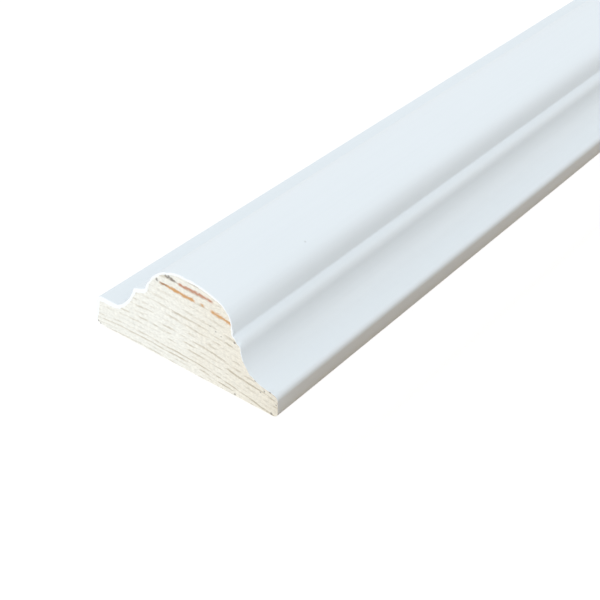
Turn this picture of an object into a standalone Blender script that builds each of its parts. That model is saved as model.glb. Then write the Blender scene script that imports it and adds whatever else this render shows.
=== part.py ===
"""Wall panel moulding: a short length of one milled timber strip, lying on its flat back.

X runs across the strip, from the thick outer edge to the thin inner edge, and Y runs along it.
Z is up, away from the wall that the back is fixed to. The origin is the middle of the back.
Sizes are in metres. Across, the members add up to 45 mm; up to the crown, they add up to 21 mm.
"""

import math

import bmesh
import bpy

# Length, cut square at both ends
LENGTH = 0.220

# Outer lip: the flat along the thick edge, whose side leans in a little as it climbs
OUTER_LIP_WIDTH = 0.0065
OUTER_LIP_HEIGHT = 0.0070
OUTER_SIDE_LEAN = 0.0010

# Cavetto: the shallow hollow that climbs from the outer lip to the step
CAVETTO_WIDTH = 0.0048
CAVETTO_RISE = 0.0060
CAVETTO_RADIUS = 0.0110

# Step: the narrow, slightly tilted flat at the foot of the swell
STEP_WIDTH = 0.0029
STEP_RISE = 0.00105

# Swell: one arc up to the crown, a flatter arc that falls away, and a tight shoulder
SWELL_WIDTH = 0.0099
SWELL_RISE = 0.00695
CROWN_WIDTH = 0.0081
CROWN_FALL = 0.00155
SHOULDER_WIDTH = 0.0029

# Ledge: the small nosing under the shoulder, a short slope that rolls over to upright
SHOULDER_DROP = 0.00187
LEDGE_WIDTH = 0.00185
LEDGE_SLOPE = math.radians(28)
LEDGE_NOSE = 0.0024

# Scotia: the deep hollow that runs out on the inner lip
SCOTIA_WIDTH = 0.00485

# Inner lip: the thin edge, its top sloping down to the outside
INNER_LIP_WIDTH = 0.0032
INNER_LIP_HEIGHT = 0.0047
INNER_LIP_SLOPE = math.radians(11)

# Radii of the softened edges
BACK_ARRIS = 0.0011
OUTER_ARRIS = 0.0018
INNER_ARRIS = 0.0011
STEP_ARRIS = 0.0004
STEP_FILLET = 0.0004
LEDGE_FILLET = 0.0005

# How finely the curves are cut into flats
CURVE_STEP = 0.0005
ARRIS_STEPS = 6

# The angle between faces above which an edge stays sharp in shading
SHARP_ANGLE = math.radians(30)

# The white ground that covers the strip
GROUND_COLOUR = (0.80, 0.84, 0.87, 1.0)
GROUND_ROUGHNESS = 0.45

QUARTER_TURN = math.pi / 2


def clear_scene():
    for thing in list(bpy.data.objects):
        bpy.data.objects.remove(thing, do_unlink=True)


def arc(centre, radius, start, end):
    """Points along a circular arc from one angle to another, both ends included."""
    steps = math.ceil(abs(end - start) * radius / CURVE_STEP)
    angles = [start + (end - start) * i / steps for i in range(steps + 1)]
    return [(centre[0] + radius * math.cos(a), centre[1] + radius * math.sin(a)) for a in angles]


def cavetto(foot, top):
    """A hollow arc of the cavetto's radius from its foot to its top, with its centre above the foot."""
    across = top[0] - foot[0]
    up = top[1] - foot[1]
    chord = math.hypot(across, up)
    rise_to_centre = math.sqrt(CAVETTO_RADIUS ** 2 - (chord / 2) ** 2)
    centre = (
        (foot[0] + top[0]) / 2 - up / chord * rise_to_centre,
        (foot[1] + top[1]) / 2 + across / chord * rise_to_centre,
    )
    start = math.atan2(foot[1] - centre[1], foot[0] - centre[0])
    end = math.atan2(top[1] - centre[1], top[0] - centre[0])
    return arc(centre, CAVETTO_RADIUS, start, end)


def swell(foot):
    """The large round: up to a level crown, gently down from it, then over the shoulder to vertical."""
    crown = (foot[0] + SWELL_WIDTH, foot[1] + SWELL_RISE)
    rise_radius = (SWELL_WIDTH ** 2 + SWELL_RISE ** 2) / (2 * SWELL_RISE)
    rise_centre = (crown[0], crown[1] - rise_radius)
    start = math.atan2(foot[1] - rise_centre[1], foot[0] - rise_centre[0])
    points = arc(rise_centre, rise_radius, start, QUARTER_TURN)

    crown_radius = (CROWN_WIDTH ** 2 + CROWN_FALL ** 2) / (2 * CROWN_FALL)
    crown_centre = (crown[0], crown[1] - crown_radius)
    tilt = 2 * math.atan2(CROWN_FALL, CROWN_WIDTH)
    points += arc(crown_centre, crown_radius, QUARTER_TURN, QUARTER_TURN - tilt)[1:]

    shoulder_radius = SHOULDER_WIDTH / (1 - math.sin(tilt))
    shoulder_centre = (
        points[-1][0] - shoulder_radius * math.sin(tilt),
        points[-1][1] - shoulder_radius * math.cos(tilt),
    )
    points += arc(shoulder_centre, shoulder_radius, QUARTER_TURN - tilt, 0.0)[1:]
    return points


def ledge(quirk):
    """The nosing's arc, from the end of the slope that starts in the quirk down to upright."""
    centre_across = quirk[0] + LEDGE_WIDTH - LEDGE_NOSE
    start_across = centre_across + LEDGE_NOSE * math.sin(LEDGE_SLOPE)
    start_up = quirk[1] - (start_across - quirk[0]) * math.tan(LEDGE_SLOPE)
    centre = (centre_across, start_up - LEDGE_NOSE * math.cos(LEDGE_SLOPE))
    return arc(centre, LEDGE_NOSE, QUARTER_TURN - LEDGE_SLOPE, 0.0)


def scotia(top, foot):
    """A quarter ellipse that starts upright at the top and lies along the lip's slope at its foot."""
    run = foot[0] - top[0]
    slope = math.tan(INNER_LIP_SLOPE)
    drop = top[1] - foot[1] - run * slope
    steps = math.ceil(QUARTER_TURN * math.hypot(run, drop) / math.sqrt(2) / CURVE_STEP)
    points = []
    for i in range(steps + 1):
        turn = QUARTER_TURN * i / steps
        back = run * math.cos(turn)
        points.append((foot[0] - back, foot[1] + back * slope + drop * (1 - math.sin(turn))))
    return points


def plain(points):
    """Curve points that keep their place, as corners with no radius."""
    return [(x, z, 0.0) for x, z in points]


def outer_corner():
    """How far the back's outer corner, before it is rounded, stands outside the strip's widest part."""
    side = math.hypot(OUTER_SIDE_LEAN, OUTER_LIP_HEIGHT)
    return BACK_ARRIS * ((side + OUTER_SIDE_LEAN) / OUTER_LIP_HEIGHT - 1)


def section():
    """The outline of the cut end as corners (across, up, radius), clockwise from the outer back edge."""
    outer_edge = -outer_corner()
    lip_end = (OUTER_LIP_WIDTH, OUTER_LIP_HEIGHT)
    step_start = (lip_end[0] + CAVETTO_WIDTH, lip_end[1] + CAVETTO_RISE)
    step_end = (step_start[0] + STEP_WIDTH, step_start[1] + STEP_RISE)
    hollow = cavetto(lip_end, step_start)
    round_top = swell(step_end)
    quirk = (round_top[-1][0], round_top[-1][1] - SHOULDER_DROP)
    nosing = ledge(quirk)
    scotia_top = nosing[-1]
    inner_edge = scotia_top[0] + SCOTIA_WIDTH + INNER_LIP_WIDTH
    scotia_foot = (
        scotia_top[0] + SCOTIA_WIDTH,
        INNER_LIP_HEIGHT + INNER_LIP_WIDTH * math.tan(INNER_LIP_SLOPE),
    )

    corners = [(outer_edge, 0.0, BACK_ARRIS)]
    corners.append((outer_edge + OUTER_SIDE_LEAN, OUTER_LIP_HEIGHT, OUTER_ARRIS))
    corners += plain(hollow[:-1])
    corners.append((*step_start, STEP_ARRIS))
    corners.append((*step_end, STEP_FILLET))
    corners += plain(round_top[1:])
    corners.append((*quirk, LEDGE_FILLET))
    corners += plain(nosing[:-1])
    corners += plain(scotia(scotia_top, scotia_foot))
    corners.append((inner_edge, INNER_LIP_HEIGHT, INNER_ARRIS))
    corners.append((inner_edge, 0.0, BACK_ARRIS))
    return corners


def rounded(corners):
    """The outline's points, each corner that has a radius turned into a small arc.

    An arc takes at most half of the run on either side of its corner.
    """
    points = []
    for i, (x, z, radius) in enumerate(corners):
        if radius == 0.0:
            points.append((x, z))
            continue
        before = corners[i - 1]
        after = corners[(i + 1) % len(corners)]
        run_in = math.hypot(x - before[0], z - before[1])
        run_out = math.hypot(after[0] - x, after[1] - z)
        heading_in = math.atan2(z - before[1], x - before[0])
        heading_out = math.atan2(after[1] - z, after[0] - x)
        turn = math.remainder(heading_out - heading_in, math.tau)
        reach = min(radius * math.tan(abs(turn) / 2), run_in / 2, run_out / 2)
        fitted = reach / math.tan(abs(turn) / 2)
        side = math.copysign(QUARTER_TURN, turn)
        start = (x - reach * math.cos(heading_in), z - reach * math.sin(heading_in))
        centre = (
            start[0] + fitted * math.cos(heading_in + side),
            start[1] + fitted * math.sin(heading_in + side),
        )
        for j in range(ARRIS_STEPS + 1):
            angle = heading_in - side + turn * j / ARRIS_STEPS
            points.append((centre[0] + fitted * math.cos(angle), centre[1] + fitted * math.sin(angle)))
    return points


def ground_material():
    """The smooth white ground that the strip is finished with."""
    material = bpy.data.materials.new("white_ground")
    material.use_nodes = True
    shader = material.node_tree.nodes["Principled BSDF"]
    shader.inputs["Base Color"].default_value = GROUND_COLOUR
    shader.inputs["Roughness"].default_value = GROUND_ROUGHNESS
    shader.inputs["Metallic"].default_value = 0.0
    return material


def moulding():
    """The strip: its section, centred on the origin and drawn out along Y."""
    outline = rounded(section())
    middle = (min(x for x, z in outline) + max(x for x, z in outline)) / 2
    shape = bmesh.new()
    ring = [shape.verts.new((x - middle, -LENGTH / 2, z)) for x, z in outline]
    end_face = shape.faces.new(ring)
    drawn = bmesh.ops.extrude_face_region(shape, geom=[end_face])
    far_ring = [item for item in drawn["geom"] if isinstance(item, bmesh.types.BMVert)]
    bmesh.ops.translate(shape, verts=far_ring, vec=(0.0, LENGTH, 0.0))
    bmesh.ops.recalc_face_normals(shape, faces=shape.faces)
    mesh = bpy.data.meshes.new("moulding")
    shape.to_mesh(mesh)
    shape.free()
    mesh.shade_smooth()
    mesh.set_sharp_from_angle(angle=SHARP_ANGLE)
    mesh.materials.append(ground_material())
    strip = bpy.data.objects.new("moulding", mesh)
    bpy.context.scene.collection.objects.link(strip)
    return strip


clear_scene()
moulding()
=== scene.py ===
import math

import bpy
import numpy as np
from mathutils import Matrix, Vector, noise
from mathutils.geometry import delaunay_2d_cdt


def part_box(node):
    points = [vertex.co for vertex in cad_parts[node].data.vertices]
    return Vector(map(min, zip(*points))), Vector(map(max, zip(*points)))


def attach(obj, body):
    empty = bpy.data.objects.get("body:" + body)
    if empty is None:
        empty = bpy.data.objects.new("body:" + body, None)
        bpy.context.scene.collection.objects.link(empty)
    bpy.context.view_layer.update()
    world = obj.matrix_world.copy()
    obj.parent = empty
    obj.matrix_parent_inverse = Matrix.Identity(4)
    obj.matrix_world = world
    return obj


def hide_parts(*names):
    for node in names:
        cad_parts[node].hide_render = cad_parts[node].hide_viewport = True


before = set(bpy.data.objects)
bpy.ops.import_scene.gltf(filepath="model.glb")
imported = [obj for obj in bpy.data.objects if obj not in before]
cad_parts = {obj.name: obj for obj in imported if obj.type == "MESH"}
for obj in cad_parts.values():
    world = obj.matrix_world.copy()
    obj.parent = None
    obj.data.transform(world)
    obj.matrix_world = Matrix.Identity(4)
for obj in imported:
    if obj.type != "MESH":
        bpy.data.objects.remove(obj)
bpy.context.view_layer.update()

# The strip lies on its back along Y. Sizes here are in millimetres unless they say otherwise, and
# "across" is measured from the strip's thick outer edge, "up" from its back.
MM = 0.001

# Camera, in metres and degrees
CAMERA_PLACE = (0.12337, -0.23062, 0.13832)
CAMERA_LOOKS_DOWN = 35.70
CAMERA_TURNED = 38.51
CAMERA_LENS = 72.03

# The moulding's half sizes, from its CAD node
BOX_LOW, BOX_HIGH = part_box("moulding")
HALF_WIDTH = (BOX_HIGH.x - BOX_LOW.x) / 2 / MM
HALF_LENGTH = (BOX_HIGH.y - BOX_LOW.y) / 2 / MM

# Mesh of the strip. A run of the section that is shorter than CURVE_FACET belongs to a curve.
FACE_SPACING = 0.25
CURVE_FACET = 0.56
BACK_SPACING = 1.0
ROW_SPACING = 2.5
ROWS_FROM_CUT = (0.0, 0.12, 0.3, 0.6, 1.2, 2.0)

# Mesh of a sawn end: the spacing of its points, their unevenness and how far off the rim they stay
END_SPACING = 0.22
END_UNEVENNESS = 0.22
RIM_MARGIN = 0.13

# Places lower than this lie on the back, and relief grows from nothing over this distance
ON_BACK = 0.001
RELIEF_GROWS = 0.4

# Relief of a sawn end: its mean depth, and the swings of torn patches, fibres and saw teeth
SAWN_MEAN = 0.035
SAWN_TORN = 0.022
SAWN_FIBRES = 0.020
SAWN_TEETH = 0.008

# Order of the strip's materials
GROUND_SLOT = 0
END_SLOT = 1
BACK_SLOT = 2

# White ground: how thick it shows on the cut end, by place across the strip
COAT_THICKNESS = (
    (0.0, 0.55),
    (0.6, 0.75),
    (1.4, 1.20),
    (5.7, 1.15),
    (6.8, 0.70),
    (10.5, 0.50),
    (11.6, 0.90),
    (13.6, 0.95),
    (14.6, 0.48),
    (19.0, 0.46),
    (24.0, 0.62),
    (31.0, 0.55),
    (34.0, 0.32),
    (36.5, 0.24),
    (38.0, 0.0),
    (45.0, -0.10),
)
COAT_FULL_ABOVE = 2.5
NO_COAT = 3.0

# How much the ground's face wavers, and how far the cut's rim is eased
COAT_WAVER = 0.022
CUT_EASING = 0.03

# Places where the saw has broken the rim of the near end, and a burr it has left: across, up,
# radius, how deep the break goes in (a burr stands out)
RIM_BREAKS = (
    (15.6, 16.6, 0.8, 0.20),
    (20.2, 20.2, 0.7, 0.14),
    (24.8, 21.0, 0.5, 0.22),
    (27.4, 20.8, 0.9, 0.12),
    (34.0, 18.1, 0.5, 0.24),
    (35.2, 14.0, 0.9, -0.20),
    (36.3, 12.4, 0.9, 0.42),
    (38.8, 6.9, 0.6, 0.22),
    (43.3, 5.0, 0.5, -0.10),
)
BREAK_LENGTH = 0.9
RIM_RAGGEDNESS = 0.05

# Growth rings: arcs about a pith that lies far behind the back and climbs slightly along the strip
PITH_ACROSS = 15.0
PITH_BEHIND = 125.0
PITH_CLIMB = 0.012
RING_WIDTH_AT_BACK = 0.85
RING_WIDENING = 0.055
RING_SWAY = 1.1
RING_SHAKE = 0.30

# Late wood as shares of a ring: where it darkens and where it ends, and the weakest ring's strength
LATE_DARKENS = (0.22, 0.58)
LATE_ENDS = (0.62, 0.82)
LATE_WEAKEST = 0.3

# Resin and stain streaks in the near end: ring radius, from and to across, half thickness, colour
STREAKS = (
    (17.2, 18.0, 20.4, 0.26, (0.36, 0.19, 0.09, 1.0)),
    (17.2, 19.8, 26.7, 0.36, (0.58, 0.31, 0.12, 1.0)),
    (17.3, 27.8, 28.9, 0.36, (0.60, 0.35, 0.16, 1.0)),
    (17.2, 30.1, 35.3, 0.38, (0.60, 0.33, 0.14, 1.0)),
    (19.2, 22.6, 31.0, 0.36, (0.49, 0.25, 0.16, 1.0)),
    (19.35, 19.3, 22.6, 0.32, (0.26, 0.23, 0.19, 1.0)),
)

# Dark specks at the near end, partly dirt and partly painted shadow at the rim's burrs, chips and bottom
# corners: across, up, radius
SPECKS_AND_PAINTED_SHADOWS = (
    (17.5, 17.5, 0.36),
    (20.6, 19.5, 0.34),
    (32.3, 19.7, 0.24),
    (29.9, 13.0, 0.16),
    (31.2, 12.4, 0.18),
    (32.4, 11.9, 0.16),
    (35.5, 12.0, 0.26),
    (38.6, 7.2, 0.22),
    (40.0, 5.9, 0.20),
    (41.1, 3.9, 0.20),
    (42.0, 4.5, 0.22),
    (43.3, 5.0, 0.26),
    (44.6, 2.8, 0.18),
    (43.5, 0.3, 0.30),
    (35.1, 0.3, 0.22),
    (0.4, 0.6, 0.25),
    (0.15, 1.2, 0.15),
    (1.0, 0.2, 0.18),
)

# The bare back: how far the ground laps over its long edges and fades out there, and how fast the
# planer's marks repeat, in radians to the millimetre
BACK_LAP = 1.25
BACK_LAP_EDGE = 0.25
PLANING_TURNS = 3.3

# The near end's streaks reach no further along than this
NEAR_END_DEPTH = 4.0

# A faint mark on the swell: across, along from the near cut, up
FACE_MARK = (32.25, 23.7, 19.45)
FACE_MARK_RADIUS = 0.28

# Colours
GROUND = (0.785, 0.85, 0.89, 1.0)
GROUND_DULL = (0.77, 0.835, 0.875, 1.0)
COAT_ON_CUT = (0.855, 0.885, 0.90, 1.0)
PINE_END = (0.82, 0.82, 0.76, 1.0)
PINE_END_WARM = (0.775, 0.74, 0.64, 1.0)
PINE_END_LATE = (0.50, 0.45, 0.35, 1.0)
PINE_END_GREY = (0.68, 0.70, 0.66, 1.0)
PINE_FACE = (0.80, 0.70, 0.51, 1.0)
PINE_FACE_LATE = (0.66, 0.47, 0.27, 1.0)
# Dark colour of dirt, also used as painted shadow in the near end's specks
DIRT_AND_PAINTED_SHADOW = (0.16, 0.15, 0.14, 1.0)
WHITE = (1.0, 1.0, 1.0, 1.0)

# Studio, in metres. The floor's glow and paint together come out white.
FLOOR_GAP = 0.0004
FLOOR_GLOW = 0.88
FLOOR_PAINT = (0.2, 0.2, 0.2, 1.0)
SWEEP_RADIUS = 2.5
SWEEP_CURVE = 1.5
SWEEP_TOP = 6.0
SWEEP_SIDES = 48
SWEEP_STEPS = 12
CARD_PAINT = (0.29, 0.16, 0.02, 1.0)
CARD_REACH = 0.0145
CARD_HEIGHT = 0.0085
CARD_AHEAD = 0.007
CARD_BELOW = 0.0008
SKY_COLOUR = (0.985, 0.99, 1.0, 1.0)
SKY_STRENGTH = 0.915

# Lamps: name, place, the point it faces, size, power in watts, colour
LAMPS = (
    ("overhead", (0.0, 0.0, 1.5), (0.0, 0.0, 0.0), 0.8, 1.3, (0.9, 0.97, 1.0)),
    ("back", (0.9, 1.0, 0.8), (0.0, 0.0, 0.0), 0.7, 1.4, (1.0, 1.0, 1.0)),
    ("front", (-0.2, -1.35, 0.16), (0.0, -0.11, 0.01), 0.9, 4.7, (1.0, 1.0, 1.0)),
)


def smooth(low, high, value):
    """0 below low, 1 above high, and an even S between them."""
    share = min(max((value - low) / (high - low), 0.0), 1.0)
    return share * share * (3 - 2 * share)


def section_outline(node):
    """The outline of a node's near end as (x, z) in metres: up the outer edge, over the face, home."""
    mesh = node.data
    near = min(vertex.co.y for vertex in mesh.vertices)
    uses = {}
    for polygon in mesh.polygons:
        corners = [mesh.vertices[i].co for i in polygon.vertices]
        if max(corner.y for corner in corners) > near + 1e-5:
            continue
        places = [(round(corner.x, 7), round(corner.z, 7)) for corner in corners]
        for a, b in zip(places, places[1:] + places[:1]):
            edge = frozenset((a, b))
            uses[edge] = uses.get(edge, 0) + 1
    beside = {}
    for edge, count in uses.items():
        if count == 1:
            a, b = edge
            beside.setdefault(a, []).append(b)
            beside.setdefault(b, []).append(a)
    start = min(beside, key=lambda place: (round(place[0], 5), place[1]))
    outline = [start, max(beside[start], key=lambda place: place[1])]
    while outline[-1] != start:
        a, b = beside[outline[-1]]
        outline.append(b if a == outline[-2] else a)
    return outline[:-1]


def closer(outline):
    """The outline with points added along its long straight runs, in millimetres."""
    points = []
    for (x0, z0), (x1, z1) in zip(outline, outline[1:] + outline[:1]):
        run = math.hypot(x1 - x0, z1 - z0) / MM
        on_back = max(z0, z1) < ON_BACK * MM
        steps = 1
        if on_back:
            steps = math.ceil(run / BACK_SPACING)
        elif run > CURVE_FACET:
            steps = math.ceil(run / FACE_SPACING)
        for i in range(steps):
            share = i / steps
            points.append(((x0 + (x1 - x0) * share) / MM, (z0 + (z1 - z0) * share) / MM))
    return points


def outward(points):
    """The direction out of the strip at each point of its outline."""
    directions = []
    for i, point in enumerate(points):
        before = points[i - 1]
        after = points[(i + 1) % len(points)]
        along = Vector((after[0] - before[0], after[1] - before[1])).normalized()
        directions.append((-along.y, along.x))
    return directions


def rows():
    """The places of the strip's rows along Y, closer together at the two cuts."""
    near = [-HALF_LENGTH + step for step in ROWS_FROM_CUT]
    far = [HALF_LENGTH - step for step in reversed(ROWS_FROM_CUT)]
    count = math.ceil((far[0] - near[-1]) / ROW_SPACING)
    between = [near[-1] + (far[0] - near[-1]) * i / count for i in range(1, count)]
    return near + between + far


def coat_thickness(across, up):
    """How thick the coat is at places of the outline: it thins to nothing towards the back."""
    places = [place for place, thickness in COAT_THICKNESS]
    thicknesses = [thickness for place, thickness in COAT_THICKNESS]
    return np.interp(across, places, thicknesses) * np.clip(up / COAT_FULL_ABOVE, 0, 1)


def inside_points(points):
    """A staggered, slightly uneven grid of points inside the outline, clear of its rim."""
    ring = np.array(points)
    low = ring.min(axis=0)
    high = ring.max(axis=0)
    chance = np.random.default_rng(7)
    grid = []
    for row, z in enumerate(np.arange(low[1], high[1], END_SPACING * 0.87)):
        for x in np.arange(low[0] + END_SPACING / 2 * (row % 2), high[0], END_SPACING):
            grid.append((x, z))
    offsets = chance.uniform(-END_UNEVENNESS, END_UNEVENNESS, (len(grid), 2))
    grid = np.array(grid) + offsets * END_SPACING
    inside = np.zeros(len(grid), bool)
    for (x0, z0), (x1, z1) in zip(ring, np.roll(ring, -1, axis=0)):
        crosses = (z0 > grid[:, 1]) != (z1 > grid[:, 1])
        if z0 != z1:
            inside ^= crosses & (grid[:, 0] < x0 + (grid[:, 1] - z0) * (x1 - x0) / (z1 - z0))
    grid = grid[inside]
    return grid[rim_distance(grid, points)[0] > RIM_MARGIN]


def rim_distance(places, points, coated_only=False):
    """How far each place is from the outline, and where on it the nearest point lies, across and up."""
    ring = np.array(points)
    nearest = np.full(len(places), 1e9)
    across = np.zeros(len(places))
    up = np.zeros(len(places))
    for a, b in zip(ring, np.roll(ring, -1, axis=0)):
        if coated_only and max(a[1], b[1]) < ON_BACK:
            continue
        run = b - a
        share = np.clip((places - a) @ run / (run @ run), 0, 1)
        foot = a + share[:, None] * run
        distance = np.hypot(*(places - foot).T)
        closer_now = distance < nearest
        nearest[closer_now] = distance[closer_now]
        across[closer_now] = foot[closer_now, 0]
        up[closer_now] = foot[closer_now, 1]
    return nearest, across, up


def sawn_depth(x, z, seed):
    """How far the sawn surface lies behind the plane of the cut."""
    torn = noise.noise(Vector((x * 0.55, z * 1.9, seed)))
    fibres = noise.noise(Vector((x * 1.9, z * 3.1, seed + 9.0)))
    teeth = math.sin((x * 0.35 + z) * 5.2 + 1.4 * noise.noise(Vector((x * 0.1, z * 0.2, seed))))
    return SAWN_MEAN + SAWN_TORN * torn + SAWN_FIBRES * fibres + SAWN_TEETH * teeth


def rim_break(x, z, from_cut):
    """How far in the near end's broken rim lies, at a place of the outline near the cut."""
    fade = 1 - smooth(0.0, BREAK_LENGTH, from_cut)
    if fade == 0.0:
        return 0.0
    depth = RIM_RAGGEDNESS * max(noise.noise(Vector((x * 2.1, z * 2.1, 4.0))), 0.0)
    for across, up, radius, deep in RIM_BREAKS:
        gap = math.hypot(x - across, z - up)
        uneven = 1 + 0.5 * noise.noise(Vector((x * 3.0, z * 3.0, 8.0)))
        depth += deep * uneven * (1 - smooth(0.2 * radius, radius, gap))
    return depth * fade


def end_faces(points):
    """The inner places, in millimetres, and the triangles of a cut end, anticlockwise in X and Z."""
    inner = inside_points(points)
    flat = [Vector(point) for point in points] + [Vector(point) for point in inner]
    boundary = list(range(len(points)))[::-1]
    places, _, triangles, sources, _, _ = delaunay_2d_cdt(flat, [], [boundary], 1, 1e-5)
    source = [found[0] for found in sources]
    turned = []
    for triangle in triangles:
        a, b, c = (places[i] for i in triangle)
        corners = [source[i] for i in triangle]
        if (b - a).cross(c - a) < 0:
            corners.reverse()
        turned.append(corners)
    return inner, turned


def drawn_vertices(points, ys):
    """The drawn strip's vertices row by row: its ground wavers, and its rims are eased and broken."""
    out = outward(points)
    vertices = []
    for y in ys:
        from_cut = HALF_LENGTH - abs(y)
        easing = CUT_EASING * (1 - smooth(0.0, ROWS_FROM_CUT[1], from_cut))
        for (x, z), (out_x, out_z) in zip(points, out):
            coated = smooth(0.0, RELIEF_GROWS, z)
            waver = noise.noise(Vector((x * 0.16, y * 0.045, z * 0.16)))
            waver += 0.35 * noise.noise(Vector((x * 0.5, y * 0.16, z * 0.5)))
            move = coated * COAT_WAVER * waver - easing
            if y < 0:
                move -= coated * rim_break(x + HALF_WIDTH, z, from_cut)
            vertices.append(((x + out_x * move) * MM, y * MM, (z + out_z * move) * MM))
    return vertices


def drawn_faces(points, row_count):
    """The faces between the rows, and the material of each."""
    count = len(points)
    faces = []
    materials = []
    for row in range(row_count - 1):
        this_row = row * count
        next_row = this_row + count
        for i in range(count):
            j = (i + 1) % count
            faces.append((this_row + i, this_row + j, next_row + j, next_row + i))
            on_back = max(points[i][1], points[j][1]) < ON_BACK
            materials.append(BACK_SLOT if on_back else GROUND_SLOT)
    return faces, materials


def sawn_surface(rim, placed, side):
    """What lies inside a sawn end's rim: vertices, their distances from the coat, and the triangles."""
    inner, triangles = end_faces([(x / MM, z / MM) for x, y, z in rim])
    distance, across, up = rim_distance(inner + (HALF_WIDTH, 0), placed, True)
    vertices = []
    for (x, z), depth in zip(inner, distance):
        back = sawn_depth(x, z, 3.0 * side) * smooth(0.0, RELIEF_GROWS, depth)
        vertices.append((x * MM, side * (HALF_LENGTH - back) * MM, z * MM))
    return vertices, list(distance - coat_thickness(across, up)), triangles


def sharpen_rims(mesh, count, last_ring):
    """Keeps the edges round the two sawn ends sharp in shading."""
    for edge in mesh.edges:
        low = min(edge.vertices)
        high = max(edge.vertices)
        if high < count or (low >= last_ring and high < last_ring + count):
            edge.use_edge_sharp = True


def strip_mesh(outline):
    """The strip: the face and back drawn along Y, and the two sawn ends."""
    points = closer(outline)
    placed = [(x + HALF_WIDTH, z) for x, z in points]
    ys = rows()
    count = len(points)
    last_ring = count * (len(ys) - 1)
    vertices = drawn_vertices(points, ys)
    faces, materials = drawn_faces(points, len(ys))
    rim_depth = [-coat_thickness(x, z) if z > ON_BACK else NO_COAT for x, z in placed]
    coat_depth = rim_depth + [0.0] * (last_ring - count) + rim_depth
    for side, ring_start in ((-1, 0), (1, last_ring)):
        rim = vertices[ring_start:ring_start + count]
        inner, depths, triangles = sawn_surface(rim, placed, side)
        inner_start = len(vertices) - count
        vertices += inner
        coat_depth += depths
        for triangle in triangles:
            corners = [i + (ring_start if i < count else inner_start) for i in triangle]
            faces.append(corners if side < 0 else corners[::-1])
            materials.append(END_SLOT)

    mesh = bpy.data.meshes.new("panel_moulding")
    mesh.from_pydata(vertices, [], faces)
    mesh.polygons.foreach_set("material_index", materials)
    depth_layer = mesh.attributes.new("coat_depth", "FLOAT", "POINT")
    depth_layer.data.foreach_set("value", np.array(coat_depth, np.float32))
    mesh.shade_smooth()
    sharpen_rims(mesh, count, last_ring)
    mesh.update()
    return mesh


def add_node(tree, kind, settings, inputs):
    """A shader node with its settings, its inputs joined to sockets or set to values."""
    made = tree.nodes.new(kind)
    for name, value in settings.items():
        setattr(made, name, value)
    for name, value in inputs.items():
        if isinstance(value, bpy.types.NodeSocket):
            tree.links.new(value, made.inputs[name])
        else:
            made.inputs[name].default_value = value
    return made


def maths(tree, operation, a, b=0.0, c=0.0):
    return add_node(tree, "ShaderNodeMath", {"operation": operation}, {0: a, 1: b, 2: c}).outputs[0]


def ramp(tree, value, low, high, start=0.0, end=1.0):
    """start where the value is below low, end where it is above high, with an even S between."""
    settings = {"interpolation_type": "SMOOTHSTEP"}
    inputs = {"Value": value, "From Min": low, "From Max": high, "To Min": start, "To Max": end}
    return add_node(tree, "ShaderNodeMapRange", settings, inputs).outputs["Result"]


def blend(tree, share, first, second):
    """A colour that goes from the first to the second as the share goes from 0 to 1."""
    made = add_node(tree, "ShaderNodeMix", {"data_type": "RGBA"}, {"Factor": share})
    for socket, colour in ((made.inputs[6], first), (made.inputs[7], second)):
        if isinstance(colour, bpy.types.NodeSocket):
            tree.links.new(colour, socket)
        else:
            socket.default_value = colour
    return made.outputs[2]


def brighten(tree, colour, factor):
    """The colour times a factor."""
    made = add_node(tree, "ShaderNodeVectorMath", {"operation": "SCALE"}, {0: colour, "Scale": factor})
    return made.outputs[0]


def place_in_mm(tree):
    """A point of the object as (across, along, up) in millimetres."""
    point = add_node(tree, "ShaderNodeTexCoord", {}, {}).outputs["Object"]
    inputs = {"Vector": point, "Scale": (1000, 1000, 1000), "Location": (HALF_WIDTH, HALF_LENGTH, 0)}
    return add_node(tree, "ShaderNodeMapping", {"vector_type": "POINT"}, inputs).outputs[0]


def across_along_up(tree, place):
    """The place's three parts."""
    return add_node(tree, "ShaderNodeSeparateXYZ", {}, {0: place}).outputs


def gap_to(tree, place, spot):
    """How far the place is from a fixed spot."""
    made = add_node(tree, "ShaderNodeVectorMath", {"operation": "DISTANCE"}, {0: place, 1: spot})
    return made.outputs["Value"]


def stretch(tree, place, factors):
    """The place with each axis times its own factor."""
    inputs = {0: place, 1: factors}
    return add_node(tree, "ShaderNodeVectorMath", {"operation": "MULTIPLY"}, inputs).outputs[0]


def noise_at(tree, place, factors, detail=2.0, roughness=0.5):
    """Smooth noise from 0 to 1, its grain set along each axis by cells to the millimetre."""
    vector = stretch(tree, place, factors)
    inputs = {"Vector": vector, "Scale": 1.0, "Detail": detail, "Roughness": roughness}
    return add_node(tree, "ShaderNodeTexNoise", {}, inputs).outputs[0]


def new_material(name):
    material = bpy.data.materials.new(name)
    material.use_nodes = True
    return material, material.node_tree, material.node_tree.nodes["Principled BSDF"]


def finish_surface(tree, shader, colour, roughness, height, relief):
    """Joins colour, roughness and a fine relief, in millimetres, to the shader."""
    inputs = {"Height": height, "Distance": relief * MM, "Strength": 1.0}
    bump = add_node(tree, "ShaderNodeBump", {}, inputs)
    tree.links.new(colour, shader.inputs["Base Color"])
    tree.links.new(roughness, shader.inputs["Roughness"])
    tree.links.new(bump.outputs["Normal"], shader.inputs["Normal"])


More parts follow.
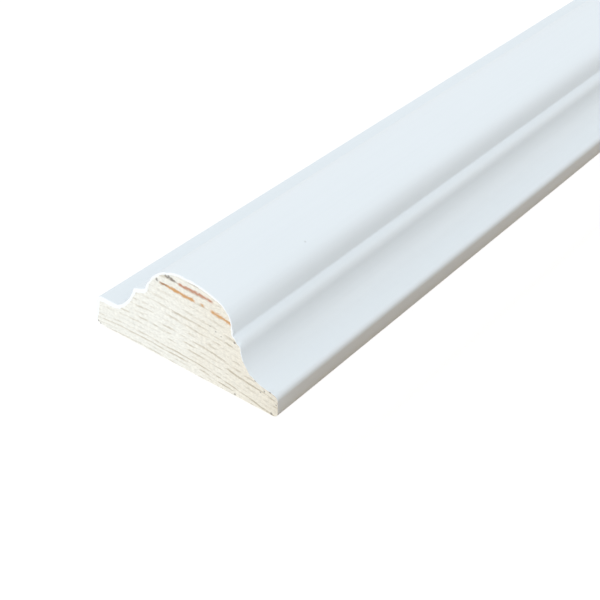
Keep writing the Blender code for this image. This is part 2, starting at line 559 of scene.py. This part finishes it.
def white_ground():
    """The drawn white ground: satin, with faint lines along the strip and a fine orange peel."""
    material, tree, shader = new_material("white_ground")
    place = place_in_mm(tree)
    cloud = noise_at(tree, place, (0.06, 0.02, 0.06), 3.0)
    lines = noise_at(tree, place, (1.6, 0.012, 1.6), 2.0)
    peel = noise_at(tree, place, (3.0, 2.2, 3.0), 2.0)
    share = maths(tree, "MULTIPLY_ADD", lines, 0.4, maths(tree, "MULTIPLY", cloud, 0.6))
    colour = blend(tree, ramp(tree, share, 0.3, 0.7), GROUND, GROUND_DULL)
    gap = gap_to(tree, place, FACE_MARK)
    mark = ramp(tree, gap, FACE_MARK_RADIUS * 0.4, FACE_MARK_RADIUS * 1.2, 0.2, 0.0)
    colour = blend(tree, mark, colour, DIRT_AND_PAINTED_SHADOW)
    roughness = maths(tree, "MULTIPLY_ADD", cloud, 0.10, 0.37)
    height = maths(tree, "MULTIPLY_ADD", lines, 2.0, peel)
    finish_surface(tree, shader, colour, roughness, height, 0.0012)
    return material


def ring_radius(tree, place):
    """How far out a point lies in the growth rings, counted from the ring that touches the back."""
    across, along, up = across_along_up(tree, place)
    sway = maths(tree, "SUBTRACT", noise_at(tree, place, (0.09, 0.008, 0.12), 2.0), 0.5)
    shake = maths(tree, "SUBTRACT", noise_at(tree, place, (0.9, 0.02, 0.9), 2.0), 0.5)
    from_pith = maths(tree, "SUBTRACT", across, PITH_ACROSS)
    height = maths(tree, "ADD", up, PITH_BEHIND)
    height = maths(tree, "MULTIPLY_ADD", along, -PITH_CLIMB, height)
    square = maths(tree, "MULTIPLY_ADD", from_pith, from_pith, maths(tree, "MULTIPLY", height, height))
    radius = maths(tree, "SUBTRACT", maths(tree, "SQRT", square), PITH_BEHIND)
    radius = maths(tree, "MULTIPLY_ADD", sway, RING_SWAY, radius)
    return maths(tree, "MULTIPLY_ADD", shake, RING_SHAKE, radius)


def ring_count(tree, radius):
    """The number of rings up to a radius: they widen outwards."""
    grown = maths(tree, "MULTIPLY_ADD", radius, RING_WIDENING / RING_WIDTH_AT_BACK, 1.0)
    return maths(tree, "DIVIDE", maths(tree, "LOGARITHM", grown, math.e), RING_WIDENING)


def late_wood(tree, count):
    """Each ring's late wood: it darkens outwards and then ends, some rings more than others."""
    share = maths(tree, "FRACT", count)
    ring = maths(tree, "FLOOR", count)
    rise = ramp(tree, share, *LATE_DARKENS)
    fall = ramp(tree, share, *LATE_ENDS, 1.0, 0.0)
    chance = add_node(tree, "ShaderNodeTexWhiteNoise", {"noise_dimensions": "1D"}, {"W": ring}).outputs[0]
    strength = maths(tree, "MULTIPLY_ADD", chance, 0.75, LATE_WEAKEST)
    return maths(tree, "MULTIPLY", maths(tree, "MULTIPLY", rise, fall), strength)


def streaked(tree, colour, place, radius):
    """The colour with the near end's streaks laid over it."""
    across, along, up = across_along_up(tree, place)
    near = maths(tree, "LESS_THAN", along, NEAR_END_DEPTH)
    ragged = maths(tree, "SUBTRACT", noise_at(tree, place, (1.1, 1.0, 2.0), 3.0, 0.6), 0.5)
    for ring, start, end, half, stain in STREAKS:
        off = maths(tree, "ABSOLUTE", maths(tree, "SUBTRACT", radius, ring))
        off = maths(tree, "MULTIPLY_ADD", ragged, 1.2, off)
        band = ramp(tree, off, half * 0.2, half * 1.5, 1.0, 0.0)
        left = ramp(tree, across, start - 0.2, start + 0.6)
        right = ramp(tree, across, end - 0.7, end + 0.2, 1.0, 0.0)
        length = maths(tree, "MULTIPLY", left, right)
        share = maths(tree, "MULTIPLY", maths(tree, "MULTIPLY", band, near), length)
        colour = blend(tree, share, colour, stain)
    return colour


def with_specks_and_painted_shadows(tree, colour, place):
    """The colour with the near end's dark specks laid over it: partly dirt, partly painted shadow at the
    rim's burrs, chips and bottom corners.
    """
    ragged = maths(tree, "SUBTRACT", noise_at(tree, place, (3.0, 3.0, 3.0), 1.0), 0.5)
    for across, up, size in SPECKS_AND_PAINTED_SHADOWS:
        gap = gap_to(tree, place, (across, 0.0, up))
        gap = maths(tree, "MULTIPLY_ADD", ragged, size, gap)
        colour = blend(tree, ramp(tree, gap, size * 0.4, size * 1.3, 0.75, 0.0), colour, DIRT_AND_PAINTED_SHADOW)
    return colour


def bare_end_grain(tree, place, late):
    """End grain: it warms towards the inner lip, with grey blotches, late wood and torn fibres."""
    across = across_along_up(tree, place)[0]
    drift = noise_at(tree, place, (0.12, 0.1, 0.16), 3.0)
    warmth = maths(tree, "MULTIPLY_ADD", drift, 24.0, across)
    warmth = ramp(tree, warmth, 26.0, 54.0)
    colour = blend(tree, warmth, PINE_END, PINE_END_WARM)
    blotch = ramp(tree, noise_at(tree, place, (0.55, 0.3, 0.8), 4.0, 0.65), 0.52, 0.70, 0.0, 0.55)
    blotch = maths(tree, "MULTIPLY", blotch, ramp(tree, across, 6.0, 30.0, 1.0, 0.35))
    colour = blend(tree, blotch, colour, PINE_END_GREY)
    colour = blend(tree, late, colour, PINE_END_LATE)
    fibres = noise_at(tree, place, (1.5, 1.0, 2.6), 3.0, 0.7)
    return brighten(tree, colour, ramp(tree, fibres, 0.28, 0.72, 0.86, 1.07)), fibres


def coat_share(tree, place):
    """1 where a sawn end is the white ground's cut edge, 0 where it is wood."""
    depth = add_node(tree, "ShaderNodeAttribute", {"attribute_name": "coat_depth"}, {}).outputs["Fac"]
    ragged = maths(tree, "SUBTRACT", noise_at(tree, place, (1.6, 1.0, 1.6), 3.0), 0.5)
    depth = maths(tree, "MULTIPLY_ADD", ragged, 0.45, depth)
    return ramp(tree, depth, -0.07, 0.07, 1.0, 0.0)


def sawn_end():
    """Sawn end grain with its rings, streaks and torn fibres, and the cut edge of the white ground."""
    material, tree, shader = new_material("sawn_end")
    place = place_in_mm(tree)
    radius = ring_radius(tree, place)
    across = across_along_up(tree, place)[0]
    broken = ramp(tree, noise_at(tree, place, (0.21, 0.2, 1.2), 3.0, 0.6), 0.42, 0.60)
    late = maths(tree, "MULTIPLY", late_wood(tree, ring_count(tree, radius)), broken)
    late = maths(tree, "MULTIPLY", late, ramp(tree, across, 4.0, 30.0, 0.62, 1.15))
    colour, fibres = bare_end_grain(tree, place, late)
    colour = streaked(tree, colour, place, radius)
    # Dark specks: dirt, and painted shadow at the rim's burrs, chips and bottom corners
    colour = with_specks_and_painted_shadows(tree, colour, place)
    coat = coat_share(tree, place)
    colour = blend(tree, coat, colour, COAT_ON_CUT)

    wood_height = maths(tree, "MULTIPLY_ADD", late, 0.8, fibres)
    height = maths(tree, "MULTIPLY", wood_height, maths(tree, "SUBTRACT", 1.0, coat))
    roughness = maths(tree, "MULTIPLY_ADD", coat, -0.25, 0.85)
    finish_surface(tree, shader, colour, roughness, height, 0.03)
    return material


def planed_back():
    """Bare planed pine, its grain running along the strip, with the ground lapped over its long edges."""
    material, tree, shader = new_material("planed_back")
    place = place_in_mm(tree)
    late = late_wood(tree, ring_count(tree, ring_radius(tree, place)))
    fibres = noise_at(tree, place, (2.6, 0.05, 2.6), 3.0, 0.6)
    flecks = ramp(tree, noise_at(tree, place, (4.5, 0.35, 4.5), 2.0), 0.62, 0.75)
    colour = blend(tree, late, PINE_FACE, PINE_FACE_LATE)
    colour = brighten(tree, colour, ramp(tree, fibres, 0.25, 0.75, 0.92, 1.05))
    colour = blend(tree, maths(tree, "MULTIPLY", flecks, 0.35), colour, PINE_FACE_LATE)

    across, along, up = across_along_up(tree, place)
    from_middle = maths(tree, "ABSOLUTE", maths(tree, "SUBTRACT", across, HALF_WIDTH))
    ragged = maths(tree, "SUBTRACT", noise_at(tree, place, (0.7, 0.12, 0.7), 4.0, 0.6), 0.5)
    edge = maths(tree, "MULTIPLY_ADD", ragged, 2.2, from_middle)
    coat = ramp(tree, edge, HALF_WIDTH - BACK_LAP, HALF_WIDTH - BACK_LAP + BACK_LAP_EDGE)
    colour = blend(tree, coat, colour, GROUND)

    planing = maths(tree, "SINE", maths(tree, "MULTIPLY", along, PLANING_TURNS))
    height = maths(tree, "MULTIPLY_ADD", planing, 0.25, fibres)
    roughness = maths(tree, "MULTIPLY_ADD", coat, -0.15, 0.62)
    finish_surface(tree, shader, colour, roughness, height, 0.006)
    return material


def place_camera():
    data = bpy.data.cameras.new("camera")
    data.lens = CAMERA_LENS
    data.clip_start = 0.01
    data.clip_end = 50.0
    camera = bpy.data.objects.new("camera", data)
    camera.location = CAMERA_PLACE
    camera.rotation_euler = (math.radians(90 - CAMERA_LOOKS_DOWN), 0.0, math.radians(CAMERA_TURNED))
    bpy.context.scene.collection.objects.link(camera)
    bpy.context.scene.camera = camera


def glow(name, paint, strength):
    """A matt paint that gives white light of its own on top of what falls on it."""
    material, tree, shader = new_material(name)
    shader.inputs["Base Color"].default_value = paint
    shader.inputs["Roughness"].default_value = 1.0
    shader.inputs["Specular IOR Level"].default_value = 0.0
    shader.inputs["Emission Color"].default_value = WHITE
    shader.inputs["Emission Strength"].default_value = strength
    return material


def staged(name, vertices, faces, material):
    """An object of the studio, which is no part of the moulding."""
    mesh = bpy.data.meshes.new(name)
    mesh.from_pydata(vertices, [], faces)
    mesh.materials.append(material)
    thing = bpy.data.objects.new(name, mesh)
    bpy.context.scene.collection.objects.link(thing)
    return thing


def sweep_profile():
    """Half of the sweep's section as (radius, height): flat, a quarter turn, and straight up."""
    profile = [(SWEEP_RADIUS, 0.0)]
    for i in range(1, SWEEP_STEPS + 1):
        turn = math.radians(90) * i / SWEEP_STEPS
        across = SWEEP_RADIUS + SWEEP_CURVE * math.sin(turn)
        profile.append((across, SWEEP_CURVE - SWEEP_CURVE * math.cos(turn)))
    profile.append((SWEEP_RADIUS + SWEEP_CURVE, SWEEP_TOP))
    return profile


def white_sweep():
    """A white floor that curves up into a wall all round, seen by the camera alone."""
    profile = sweep_profile()
    vertices = [(0.0, 0.0, -FLOOR_GAP)]
    for radius, z in profile:
        for i in range(SWEEP_SIDES):
            angle = math.tau * i / SWEEP_SIDES
            vertices.append((radius * math.cos(angle), radius * math.sin(angle), z - FLOOR_GAP))
    faces = [(0, 1 + i, 1 + (i + 1) % SWEEP_SIDES) for i in range(SWEEP_SIDES)]
    for ring in range(len(profile) - 1):
        for i in range(SWEEP_SIDES):
            a = 1 + ring * SWEEP_SIDES + i
            b = 1 + ring * SWEEP_SIDES + (i + 1) % SWEEP_SIDES
            faces.append((a, b, b + SWEEP_SIDES, a + SWEEP_SIDES))
    sweep = staged("floor", vertices, faces, glow("floor", FLOOR_PAINT, FLOOR_GLOW))
    sweep.data.shade_smooth()
    sweep.visible_diffuse = False
    sweep.visible_glossy = False
    sweep.visible_shadow = False


def warm_card():
    """A brown card close along the thin edge that keeps the white studio off it. Not seen itself."""
    side = BOX_HIGH.x
    reach = side + CARD_REACH
    vertices = []
    for y in (BOX_LOW.y - CARD_AHEAD, BOX_HIGH.y):
        vertices += [(side, y, -CARD_BELOW), (reach, y, -CARD_BELOW), (reach, y, CARD_HEIGHT)]
    faces = [(0, 1, 4, 3), (1, 2, 5, 4)]
    card = staged("card", vertices, faces, glow("card", CARD_PAINT, 0.0))
    card.visible_camera = False
    card.visible_glossy = False
    card.visible_shadow = False


def soft_light(name, place, towards, size, power, colour):
    data = bpy.data.lights.new(name, "AREA")
    data.shape = "DISK"
    data.size = size
    data.energy = power
    data.color = colour
    lamp = bpy.data.objects.new(name, data)
    lamp.location = place
    lamp.rotation_euler = (Vector(towards) - Vector(place)).to_track_quat("-Z", "Y").to_euler()
    bpy.context.scene.collection.objects.link(lamp)


def studio():
    """Even light from all round, a little more from above, and a low lamp in front of the cut end."""
    world = bpy.data.worlds.new("studio")
    world.use_nodes = True
    sky = world.node_tree.nodes["Background"]
    sky.inputs["Color"].default_value = SKY_COLOUR
    sky.inputs["Strength"].default_value = SKY_STRENGTH
    bpy.context.scene.world = world
    bpy.context.scene.view_settings.view_transform = "Standard"
    for lamp in LAMPS:
        soft_light(*lamp)


place_camera()
outline = section_outline(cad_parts["moulding"])
moulding = bpy.data.objects.new("panel_moulding", strip_mesh(outline))
bpy.context.scene.collection.objects.link(moulding)
for material in (white_ground(), sawn_end(), planed_back()):
    moulding.data.materials.append(material)
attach(moulding, "root")
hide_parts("moulding")

white_sweep()
warm_card()
studio()
